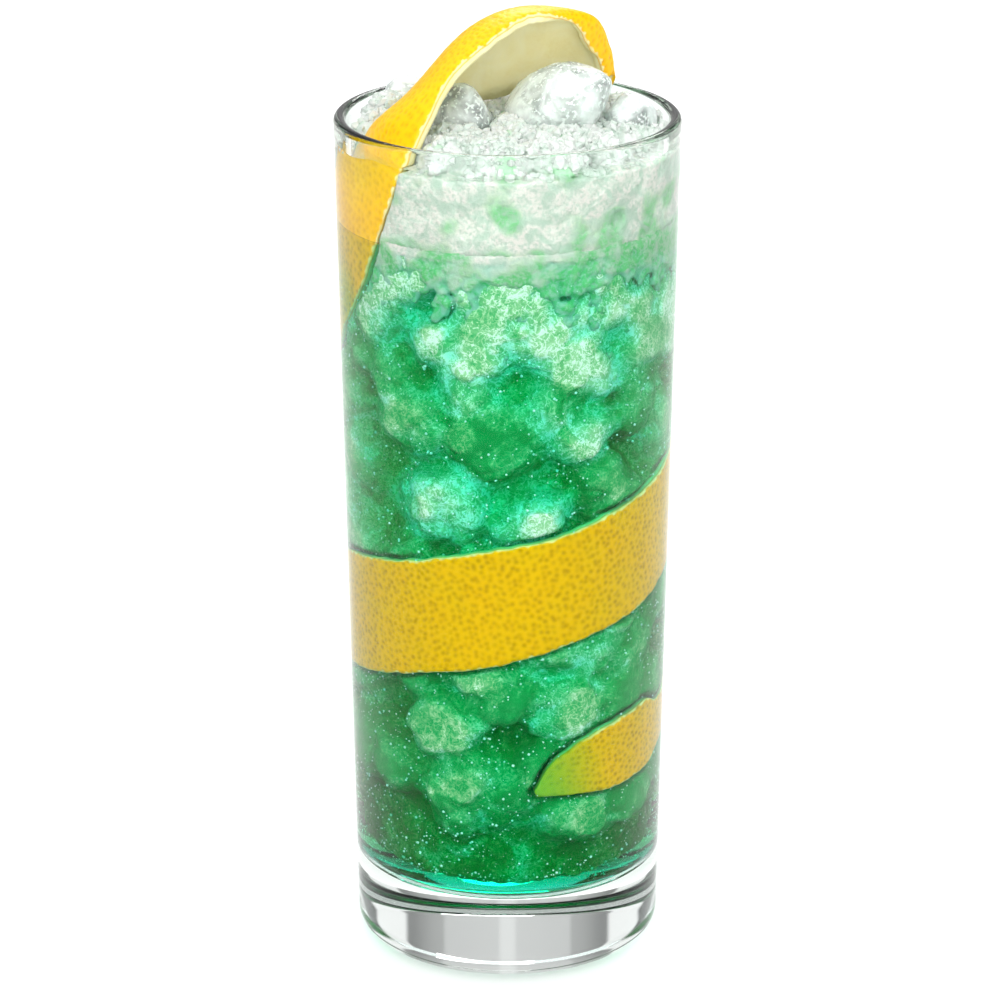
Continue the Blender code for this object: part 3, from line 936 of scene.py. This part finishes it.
        # Painted highlight: thin cracks and creases that catch the light are painted as curved white streaks.
        look = {"Vector": place, "Scale": 380.0, "Detail": 2.5, "Roughness": 0.6, "Distortion": 1.0}
        crease = add(tree, "ShaderNodeTexNoise", look)
        middle = add(tree, "ShaderNodeMath", {0: crease, 1: 0.5}, operation="SUBTRACT")
        off = add(tree, "ShaderNodeMath", {0: middle}, operation="ABSOLUTE")
        limits = {"Value": off, "From Max": 0.045, "To Min": 0.9, "To Max": 0.0}
        painted_crack_glint = add(tree, "ShaderNodeMapRange", limits)
        crystals_and_painted_glints = add(tree, "ShaderNodeMath", {0: crinkle, 1: painted_crack_glint}, operation="MAXIMUM")
        terms = {0: cloudy, 1: 0.8, 2: 0.26}
        more = add(tree, "ShaderNodeMath", terms, operation="MULTIPLY_ADD", use_clamp=True)
        cloud_and_painted_glints = add(tree, "ShaderNodeMath", {0: crystals_and_painted_glints, 1: more, 2: cloudy}, operation="MULTIPLY_ADD")
        pale = add(tree, "ShaderNodeMath", {0: cloud_and_painted_glints, 1: 0.72}, operation="MULTIPLY")
        ramp = add(tree, "ShaderNodeValToRGB", {"Fac": pale})
        set_stops(ramp, [(paleness, hex_colour(tone)) for paleness, tone in ICE_TONES])
        bump = add(tree, "ShaderNodeBump", {"Height": fine, "Distance": 0.0005, "Strength": 0.8})
        look = {"Base Color": ramp, "Roughness": 0.35, "IOR": 1.18, "Normal": bump}
        shader = add(tree, "ShaderNodeBsdfPrincipled", look)
        add(tree, "ShaderNodeOutputMaterial", {"Surface": shader})
        return made


class HIGHBALL_OT_bubbles(bpy.types.Operator):
    """Scatters fine bubbles and ice crystals through the drink near the wall"""

    bl_idname = "highball.bubbles"
    bl_label = "Bubbles"

    def execute(self, context):
        settings = context.scene.highball_drink
        draw = random.Random(5)
        points, faces = ball(1)
        specks = Heap()
        for _ in range(settings.bubbles):
            z = FLOOR + 0.0012 + (LEVEL - FLOOR - 0.002) * draw.random() ** 1.15
            radius = settings.bubble_radius * min(draw.lognormvariate(0, 0.45), 2.4)
            depth = 0.0003 + radius + draw.expovariate(1 / 0.0008)
            away = max(inner_radius(z) - depth, 0.002)
            if z < FLOOR + FLOOR_CORNER:
                away = min(away, inner_radius(z) - FLOOR_CORNER * 0.9)
            specks.add(points * radius + around(draw.uniform(0, 360), away, z), faces)
        # Air and ice so fine that each speck shows as a white dot with a soft glint; the white is partly the
        # fine ice's own colour and partly painted glint for the clear air bubbles.
        made, tree, place = new_material("fine bubbles and ice, white partly as painted glints")
        tone = add(tree, "ShaderNodeTexNoise", {"Vector": place, "Scale": 300.0})
        ends = {0: tone, 6: hex_colour("#CFEFE0"), 7: hex_colour("#FFFFFF")}
        colour = add(tree, "ShaderNodeMix", ends, data_type="RGBA")
        shader = add(tree, "ShaderNodeBsdfPrincipled", {"Base Color": colour, "Roughness": 0.25, "IOR": 1.3})
        add(tree, "ShaderNodeOutputMaterial", {"Surface": shader})
        new_piece("fine_bubbles", specks.mesh("fine_bubbles"), made)
        return {"FINISHED"}


class HIGHBALL_OT_crushed_ice(bpy.types.Operator):
    """Makes the crushed ice that fills the top of the glass, with its loose chips"""

    bl_idname = "highball.crushed_ice"
    bl_label = "Crushed ice"

    def execute(self, context):
        settings = context.scene.highball_ice
        finish = frosted_ice("wet crushed ice", settings.frost, settings.stained)
        # Painted shade: the loose ice on top and its chips are the same frosted ice in a greyer colour,
        # darkened to offset the strong light from above.
        loose = frosted_ice("loose crushed ice darkened as painted shade", hex_colour("#D3D6D3"), settings.stained, 0.5, 0.0)
        mesh = remeshed(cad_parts["crushed_ice"].data.copy(), HEAP_VOXEL, 2)
        self.shape(mesh)
        piece = new_piece("wet_crushed_ice", mesh, finish)
        piece.data.materials.append(loose)
        for face in piece.data.polygons:
            if face.center[2] > MELT_TOP:
                face.material_index = 1
        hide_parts("crushed_ice")
        self.melt()
        self.chips(settings, mesh, loose)
        return {"FINISHED"}

    @staticmethod
    def shape(mesh):
        """Presses the heap against the wall, cracks it into grains and finds where it is clear or stained."""
        points = points_of(mesh)
        normals = normals_of(mesh)
        clear = np.zeros(len(points))
        windows = [(around(*place[:3]), *place[3:]) for place in CLEAR_WINDOWS]
        for i, p in enumerate(points):
            at = Vector(p)
            relief = ice_relief(at)
            radius = math.hypot(p[0], p[1])
            wall = inner_radius(p[2])
            lowest = p[2] < LEVEL + 0.0009
            side = radius > wall - SIDE_DEPTH and (abs(normals[i][2]) < 0.6 or lowest)
            pocket = noise.noise(at * 150 + POCKET_SHIFT)
            # Its lower end has soaked in the drink.
            stain = stain_height(p)
            low = rounded((LEVEL + stain - p[2]) / stain + 0.7 * noise.noise(at * 160))
            clear[i] = pocket + 0.52 * low
            for middle, reach, strength in windows:
                away = np.linalg.norm(p - middle) / reach
                if away < 2.5:
                    clear[i] += strength * math.exp(-(away**2))
            if side:
                depth = max(0.0, 0.004 * (pocket - 0.40)) + max(0.0, -relief)
                points[i, :2] *= (wall + INTO_WALL * 0.6 - depth) / radius
                if lowest:
                    # It dips into the soaked ice below, so that no groove shows between them.
                    points[i, 2] = min(points[i, 2], LEVEL) - 0.0004
            else:
                points[i] = p + normals[i] * relief
                reach = math.hypot(points[i, 0], points[i, 1])
                if reach > wall - 0.0002 and p[2] < HEIGHT:
                    points[i, :2] *= (wall - 0.0002) / reach
        set_points(mesh, points)
        set_values(mesh, "clear", clear)

    @staticmethod
    def melt():
        """The pale water that fills the hollows between the ice and the wall."""
        inside = inner_radius(LEVEL) - MELT_THICKNESS
        bottom = LEVEL + 0.00002
        into = INTO_WALL * 0.8
        outside = inner_radius(LEVEL) + into
        rows = [[(inside, bottom)] * TURNED_STEPS, [(outside, bottom)] * TURNED_STEPS, [], []]
        for j in range(TURNED_STEPS):
            a = math.tau * j / TURNED_STEPS
            top = MELT_TOP + 0.0011 * noise.noise((4 * math.cos(a), 4 * math.sin(a), 0.5))
            rows[2].append((inner_radius(top) + into, top))
            rows[3].append((inside, top))
        points = []
        for row in rows:
            for j, (radius, height) in enumerate(row):
                a = math.tau * j / TURNED_STEPS
                points.append((radius * math.cos(a), radius * math.sin(a), height))
        faces = []
        for i in range(4):
            for j in range(TURNED_STEPS):
                after = (j + 1) % TURNED_STEPS
                low, high = i * TURNED_STEPS, (i + 1) % 4 * TURNED_STEPS
                faces.append((low + j, low + after, high + after, high + j))
        mesh = mesh_of("melt_water", points, faces)
        outwards(mesh)
        # Melt water with a little of the drink in it: nearly clear, with a pale green cast.
        finish = clear_body("melt water", WHITE, 1.33, WET_GLINT, 5.0, hex_colour("#9FE8B8"), 50.0)
        piece = new_piece("melt_water", mesh, finish)
        piece.data.set_sharp_from_angle(angle=SHARP_ANGLE)

    @staticmethod
    def chips(settings, bed, finish):
        """Loose chips that lie half sunk on the heap."""
        draw = random.Random(17)
        shape = bmesh.new()
        shape.from_mesh(bed)
        surface = BVHTree.FromBMesh(shape)
        shape.free()
        tree = skin_tree(PEEL_THICKNESS / 2)
        ball_points, ball_faces = ball(1)
        heap = Heap()
        for _ in range(settings.chips):
            azimuth, away = draw.uniform(0, 360), CHIPS_REACH * math.sqrt(draw.random())
            size = settings.chip_size * min(draw.lognormvariate(0, 0.35), 1.8)
            hit = surface.ray_cast(Vector(around(azimuth, away, ABOVE_ALL)), Vector((0, 0, -1)))[0]
            if hit is None or away > inner_radius(HEIGHT) - size * 1.1:
                continue
            if tree.find(hit)[2] < size + 0.0018:
                continue
            stretch = np.array([draw.uniform(0.5, 1.3) for _ in range(3)]) * size
            points = chip_points(ball_points, draw, 4, 0.5, 0.85) * stretch @ random_turn(draw).T
            heap.add(points + np.array(hit) - (0, 0, size * 0.1), ball_faces, draw.uniform(-0.6, 0.1))
        piece = new_piece("ice_chips", heap.mesh("ice_chips", "clear"), finish)
        piece.data.shade_flat()


class HIGHBALL_OT_ice_lumps(bpy.types.Operator):
    """Makes the four clear lumps that stand out of the heap"""

    bl_idname = "highball.ice_lumps"
    bl_label = "Ice lumps"

    def execute(self, context):
        finish = self.finish()
        for node in ("ice_lump_left", "ice_lump_big", "ice_lump_back", "ice_lump_side"):
            mesh = remeshed(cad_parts[node].data.copy(), LUMP_VOXEL, 4)
            points = points_of(mesh)
            normals = normals_of(mesh)
            for i, p in enumerate(points):
                at = Vector(p)
                relief = 0.00035 * noise.noise(at * 230) + 0.00012 * noise.noise(at * 620)
                points[i] = p + normals[i] * relief
            set_points(mesh, points)
            piece = new_piece(node.replace("ice_lump", "melting_lump"), mesh, finish)
            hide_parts(node)
        return {"FINISHED"}

    @staticmethod
    def finish():
        """Half-melted ice: clear and wet outside, with white hazy patches and specks of trapped air."""
        made, tree, place = new_material("half-melted clear ice")
        look = {"Vector": place, "Scale": 210.0, "Detail": 3.0, "Distortion": 0.8}
        broad = add(tree, "ShaderNodeTexNoise", look)
        fine = add(tree, "ShaderNodeTexNoise", {"Vector": place, "Scale": 1300.0, "Detail": 3.0})
        limits = {"Value": broad, "From Min": 0.3, "From Max": 0.68}
        haze = add(tree, "ShaderNodeMapRange", limits, interpolation_type="SMOOTHSTEP")
        limits = {"Value": fine, "From Min": 0.50, "From Max": 0.62}
        specks = add(tree, "ShaderNodeMapRange", limits, interpolation_type="SMOOTHSTEP")
        white = add(tree, "ShaderNodeMath", {0: haze, 1: specks}, operation="MAXIMUM")
        bump = add(tree, "ShaderNodeBump", {"Height": fine, "Distance": 0.0003, "Strength": 0.7})
        look = {"Roughness": 0.06, "IOR": ICE_IOR, "Transmission Weight": 0.75, "Normal": bump}
        clear = add(tree, "ShaderNodeBsdfPrincipled", {"Base Color": hex_colour("#EEF9F5"), **look})
        look = {"Roughness": 0.25, "IOR": ICE_IOR, "Subsurface Weight": 0.4, "Normal": bump}
        look.update({"Subsurface Radius": (0.003, 0.004, 0.0035), "Subsurface Scale": 1.0})
        cloudy = add(tree, "ShaderNodeBsdfPrincipled", {"Base Color": hex_colour("#E4EEE9"), **look})
        mix = add(tree, "ShaderNodeMixShader", {0: white, 1: clear, 2: cloudy})
        add(tree, "ShaderNodeOutputMaterial", {"Surface": mix})
        return made


class HIGHBALL_OT_lemon_peel(bpy.types.Operator):
    """Makes the long ribbon of lemon peel, with its pores, pith and cut edges"""

    bl_idname = "highball.lemon_peel"
    bl_label = "Lemon peel"

    def execute(self, context):
        settings = context.scene.highball_peel
        ribbon = peel_ribbon()
        across = ribbon.across
        pore = pores(ribbon.along, across, 9)
        from_edge = np.minimum(across - across[:, :1], across[:, -1:] - across)
        steeped = rounded(1 - ribbon.along / PEEL_STEEPED)
        outer = self.outer_skin(ribbon, pore, from_edge, steeped, settings.pore_depth)
        inner, steps = self.pith_side(ribbon), np.arange(1, PEEL_EDGE_STEPS) / PEEL_EDGE_STEPS
        high = [outer[:, -1] * (1 - s) + inner[:, 0] * s for s in steps]
        low = [inner[:, -1] * (1 - s) + outer[:, 0] * s for s in steps]
        loops = np.concatenate((outer, np.stack(high, 1), inner, np.stack(low, 1)), axis=1)
        rows, columns = pore.shape
        size = loops.shape[1]
        a = np.arange(rows - 1)[:, None] * size + np.arange(size)[None]
        b = np.arange(rows - 1)[:, None] * size + (np.arange(size)[None] + 1) % size
        faces = np.stack((a, b, b + size, a + size), -1).reshape(-1, 4)
        ends = [list(range(size))[::-1], [(rows - 1) * size + i for i in range(size)]]
        mesh = bpy.data.meshes.new("lemon_peel_ribbon")
        mesh.from_pydata(loops.reshape(-1, 3).tolist(), [], faces.tolist() + ends)
        outwards(mesh)
        rind = np.concatenate((np.zeros(columns), steps, np.ones(PEEL_PITH_ACROSS), 1 - steps))
        rind = np.tile(rind, (rows, 1))
        rind[:, :columns] = self.ragged_pith(ribbon, from_edge, steeped)
        pitted = np.zeros((rows, size))
        pitted[:, :columns] = pore
        set_values(mesh, "rind", rind.ravel())
        set_values(mesh, "steeped", np.repeat(steeped[:, 0], size))
        set_values(mesh, "pore", pitted.ravel())
        mesh = with_modifiers(mesh, ("TRIANGULATE", {}))
        dry = self.finish("fresh lemon zest and pith", settings.skin, settings.pith, 0.6, 1.3, 0.36)
        # In the drink the skin hardly glints, because the drink bends light almost as much as the skin does.
        wet_pith = hex_colour("#F4DC6A")
        wet = self.finish("lemon zest and pith in the drink", settings.soaked, wet_pith, 1.1, 1.08, 0.5)
        piece = new_piece("lemon_peel_ribbon", mesh, dry)
        piece.data.materials.append(wet)
        for face in piece.data.polygons:
            if face.center[2] < LEVEL:
                face.material_index = 1
        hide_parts("lemon_peel")
        return {"FINISHED"}

    @staticmethod
    def outer_skin(ribbon, pore, from_edge, steeped, pore_depth):
        """The skin's points: pitted with pores, rounded at both cuts and close to the glass's wall."""
        lift = -pore_depth * pore - 0.00022 * np.clip(1 - from_edge / 0.0006, 0, 1) ** 2
        for i, j in np.ndindex(lift.shape):
            at = (ribbon.along[i, j] * 260, ribbon.across[i, j] * 260, 2.0)
            lift[i, j] -= 0.00006 * (1 + noise.noise(at))
        # Against the glass, hardly any drink is left in front of the skin.
        to_wall = inner_radius(ribbon.skin[..., 2]) - np.hypot(ribbon.skin[..., 0], ribbon.skin[..., 1])
        room = np.clip(to_wall - PEEL_TO_WALL, 0, PEEL_MOST_LIFT)
        lift += (1 - steeped) * room * rounded((0.0016 - to_wall) / 0.0008)
        return ribbon.skin + ribbon.normal * lift[..., None]

    @staticmethod
    def pith_side(ribbon):
        """The pith's points, at the peel's uneven thickness behind the skin."""
        rows, columns = ribbon.along.shape
        pick = np.linspace(columns - 1, 0, PEEL_PITH_ACROSS).round().astype(int)
        thick = np.empty((rows, PEEL_PITH_ACROSS))
        for i in range(rows):
            for k, j in enumerate(pick):
                along, across = ribbon.along[i, j], ribbon.across[i, j]
                thick[i, k] = PEEL_THICKNESS * (0.95 + 0.05 * noise.noise((along * 300, across * 300, 5.0)))
                thick[i, k] -= 0.0001 * abs(noise.noise((along * 1200, across * 1200, 8.0)))
        return ribbon.skin[:, pick] - ribbon.normal[:, pick] * thick[..., None]

    @staticmethod
    def ragged_pith(ribbon, from_edge, steeped):
        """How much pith shows from the skin's side: a ragged line of it along both cuts."""
        shown = np.zeros(from_edge.shape)
        for i, j in np.ndindex(shown.shape):
            if from_edge[i, j] < 0.0016:
                rough = noise.noise((ribbon.along[i, j] * 900, ribbon.across[i, j] * 900, 4.0))
                shown[i, j] = rounded(1.1 - from_edge[i, j] / 0.0006 + 0.9 * rough)
        return 0.36 * shown * (1 - steeped)

    @staticmethod
    def finish(name, skin_colour, pith_colour, pore_darkening, ior, gloss):
        """Fresh lemon zest: waxy yellow skin with darker oil pores, partly painted shade, over dull cream
        pith.
        """
        made, tree, place = new_material(name)
        rind = add(tree, "ShaderNodeAttribute", attribute_name="rind").outputs["Fac"]
        pore = add(tree, "ShaderNodeAttribute", attribute_name="pore").outputs["Fac"]
        broad = add(tree, "ShaderNodeTexNoise", {"Vector": place, "Scale": 110.0, "Detail": 2.0})
        fine = add(tree, "ShaderNodeTexNoise", {"Vector": place, "Scale": 1500.0, "Detail": 3.0})
        ends = {0: broad, 6: tuple(skin_colour), 7: hex_colour("#F9B800")}
        skin = add(tree, "ShaderNodeMix", ends, data_type="RGBA")
        # Painted shade: the pores are darker partly by the oil glands' own colour and partly by shade painted
        # into their pits, with more of it on the skin in the drink.
        dark = add(tree, "ShaderNodeMath", {0: pore, 1: pore_darkening}, operation="MULTIPLY", use_clamp=True)
        ends = {0: dark, 6: skin, 7: hex_colour("#CC8600")}
        pitted = add(tree, "ShaderNodeMix", ends, data_type="RGBA")
        # The pith is spongy, so it is cream with soft yellower patches.
        look = {"Vector": place, "Scale": 140.0, "Detail": 4.0, "Distortion": 0.8}
        fibres = add(tree, "ShaderNodeTexNoise", look)
        limits = {"Value": fibres, "From Min": 0.38, "From Max": 0.62, "To Max": 0.7}
        patchy = add(tree, "ShaderNodeMapRange", limits)
        ends = {0: patchy, 6: tuple(pith_colour), 7: hex_colour("#F2E08A")}
        streaky = add(tree, "ShaderNodeMix", ends, data_type="RGBA")
        pith = add(tree, "ShaderNodeMix", {0: fine, 6: streaky, 7: hex_colour("#FFF6C0")}, data_type="RGBA")
        limits = {"Value": rind, "From Min": 0.18, "From Max": 0.42}
        cut = add(tree, "ShaderNodeMapRange", limits, interpolation_type="SMOOTHSTEP")
        dressed = add(tree, "ShaderNodeMix", {0: cut, 6: pitted, 7: pith}, data_type="RGBA")
        # The tail end has steeped in the drink and taken on its green.
        steeped = add(tree, "ShaderNodeAttribute", attribute_name="steeped").outputs["Fac"]
        green = add(tree, "ShaderNodeMath", {0: steeped, 1: 0.8}, operation="MULTIPLY")
        ends = {0: green, 6: dressed, 7: hex_colour("#6CB43C")}
        colour = add(tree, "ShaderNodeMix", ends, data_type="RGBA")
        dull = add(tree, "ShaderNodeMapRange", {"Value": cut, "To Min": gloss, "To Max": 0.7})
        bump = add(tree, "ShaderNodeBump", {"Height": fine, "Distance": 0.00012, "Strength": 0.5})
        look = {"Base Color": colour, "Roughness": dull, "IOR": ior, "Normal": bump}
        look.update({"Subsurface Weight": 0.12, "Subsurface Radius": (0.0014, 0.0012, 0.0004)})
        shader = add(tree, "ShaderNodeBsdfPrincipled", {"Subsurface Scale": 1.0, **look})
        add(tree, "ShaderNodeOutputMaterial", {"Surface": shader})
        return made


class HIGHBALL_OT_stage(bpy.types.Operator):
    """Sets the pale floor, the soft studio light and the camera"""

    bl_idname = "highball.stage"
    bl_label = "Stage"

    def execute(self, context):
        settings = context.scene.highball_stage
        scene = context.scene
        scene.view_settings.view_transform = "Standard"
        scene.cycles.max_bounces = 12
        scene.cycles.diffuse_bounces = 3
        scene.cycles.transmission_bounces = 11
        scene.cycles.transparent_max_bounces = 16
        self.floor(scene)
        self.room(scene, settings)
        self.lamps(scene, settings)
        self.camera(scene)
        return {"FINISHED"}

    @staticmethod
    def floor(scene):
        size = 4.0
        corners = [(-size, -size, 0), (size, -size, 0), (size, size, 0), (-size, size, 0)]
        mesh = mesh_of("floor", corners, [(0, 1, 2, 3)])
        # Uncoated studio paper: dull, with a grain of about a millimetre that hardly shows.
        made, tree, place = new_material("matt white paper")
        grain = add(tree, "ShaderNodeTexNoise", {"Vector": place, "Scale": 900.0})
        ends = {0: grain, 6: hex_colour("#FAFAFA"), 7: hex_colour("#F6F6F6")}
        tone = add(tree, "ShaderNodeMix", ends, data_type="RGBA")
        shader = add(tree, "ShaderNodeBsdfPrincipled", {"Base Color": tone, "Roughness": 0.9})
        add(tree, "ShaderNodeOutputMaterial", {"Surface": shader})
        mesh.materials.append(made)
        floor = bpy.data.objects.new("floor", mesh)
        scene.collection.objects.link(floor)

    @staticmethod
    def room(scene, settings):
        """A white tent with dark upright strips, which draw the glass's edges."""
        world = bpy.data.worlds.new("studio tent")
        world.use_nodes = True
        scene.world = world
        tree = world.node_tree
        tree.nodes.clear()
        way = add(tree, "ShaderNodeTexCoord").outputs["Generated"]
        parts = add(tree, "ShaderNodeSeparateXYZ", {0: way})
        toward = add(tree, "ShaderNodeMath", {0: parts.outputs["Y"], 1: -1.0}, operation="MULTIPLY")
        angle = add(tree, "ShaderNodeMath", {0: parts.outputs["X"], 1: toward}, operation="ARCTAN2")
        aside = add(tree, "ShaderNodeMath", {0: angle}, operation="ABSOLUTE")
        turn = add(tree, "ShaderNodeMath", {0: aside, 1: 1 / math.pi}, operation="MULTIPLY")
        ramp = add(tree, "ShaderNodeValToRGB", {"Fac": turn})
        ramp.color_ramp.interpolation = "EASE"
        set_stops(ramp, [(azimuth / 180, grey(value)) for azimuth, value in TENT])
        limits = {"Value": parts.outputs["Z"], "From Min": 0.5, "From Max": 0.8}
        high = add(tree, "ShaderNodeMapRange", limits, interpolation_type="SMOOTHSTEP")
        light = add(tree, "ShaderNodeMix", {0: high, 6: ramp, 7: grey(TENT_TOP)}, data_type="RGBA")
        # The camera sees the tent as plain white.
        path = add(tree, "ShaderNodeLightPath").outputs["Is Camera Ray"]
        seen = add(tree, "ShaderNodeMix", {0: path, 6: light, 7: grey(TENT_SEEN)}, data_type="RGBA")
        back = add(tree, "ShaderNodeBackground", {"Color": seen, "Strength": settings.light})
        add(tree, "ShaderNodeOutputWorld", {"Surface": back})

    @staticmethod
    def lamps(scene, settings):
        for name, place, size, share in SOFTBOXES:
            light = bpy.data.lights.new(name, "AREA")
            light.size = size
            light.energy = settings.lamp * share
            lamp = bpy.data.objects.new(name, light)
            lamp.location = place
            toward = Vector((0, 0, LAMPS_AIM)) - Vector(place)
            lamp.rotation_euler = toward.to_track_quat("-Z", "Y").to_euler()
            lamp.visible_camera = False
            scene.collection.objects.link(lamp)

    @staticmethod
    def camera(scene):
        data = bpy.data.cameras.new("camera")
        data.sensor_width = SENSOR_MM
        data.lens = CAMERA_FOCAL_PIXELS / IMAGE_PIXELS * SENSOR_MM
        data.shift_x = (IMAGE_PIXELS / 2 - CAMERA_AXIS_PIXEL) / IMAGE_PIXELS
        data.clip_start = 0.01
        camera = bpy.data.objects.new("camera", data)
        camera.location = CAMERA_PLACE
        camera.rotation_euler = (math.radians(90 - CAMERA_TILT), 0, 0)
        scene.collection.objects.link(camera)
        scene.camera = camera


class HIGHBALL_PT_panel(bpy.types.Panel):
    bl_label = "Iced green highball"
    bl_idname = "HIGHBALL_PT_panel"
    bl_space_type = "VIEW_3D"
    bl_region_type = "UI"
    bl_category = "Highball"

    def draw(self, context):
        for operator in PIECES:
            self.layout.operator(operator.bl_idname)


PIECES = (
    HIGHBALL_OT_stage,
    HIGHBALL_OT_glass,
    HIGHBALL_OT_drink,
    HIGHBALL_OT_lemon_peel,
    HIGHBALL_OT_sunken_ice,
    HIGHBALL_OT_bubbles,
    HIGHBALL_OT_ice_lumps,
    HIGHBALL_OT_crushed_ice,
)
SETTINGS = {
    "highball_glass": HighballGlass,
    "highball_drink": HighballDrink,
    "highball_ice": HighballIce,
    "highball_peel": HighballPeel,
    "highball_stage": HighballStage,
}


def register():
    for group in (*SETTINGS.values(), *PIECES, HIGHBALL_PT_panel):
        bpy.utils.register_class(group)
    for name, group in SETTINGS.items():
        setattr(bpy.types.Scene, name, bpy.props.PointerProperty(type=group))


def unregister():
    for name in SETTINGS:
        delattr(bpy.types.Scene, name)
    for group in reversed((*SETTINGS.values(), *PIECES, HIGHBALL_PT_panel)):
        bpy.utils.unregister_class(group)


def main():
    register()
    bpy.ops.highball.stage()
    bpy.ops.highball.glass()
    bpy.ops.highball.drink()
    bpy.ops.highball.lemon_peel()
    bpy.ops.highball.sunken_ice()
    bpy.ops.highball.bubbles()
    bpy.ops.highball.ice_lumps()
    bpy.ops.highball.crushed_ice()


if __name__ == "__main__":
    main()
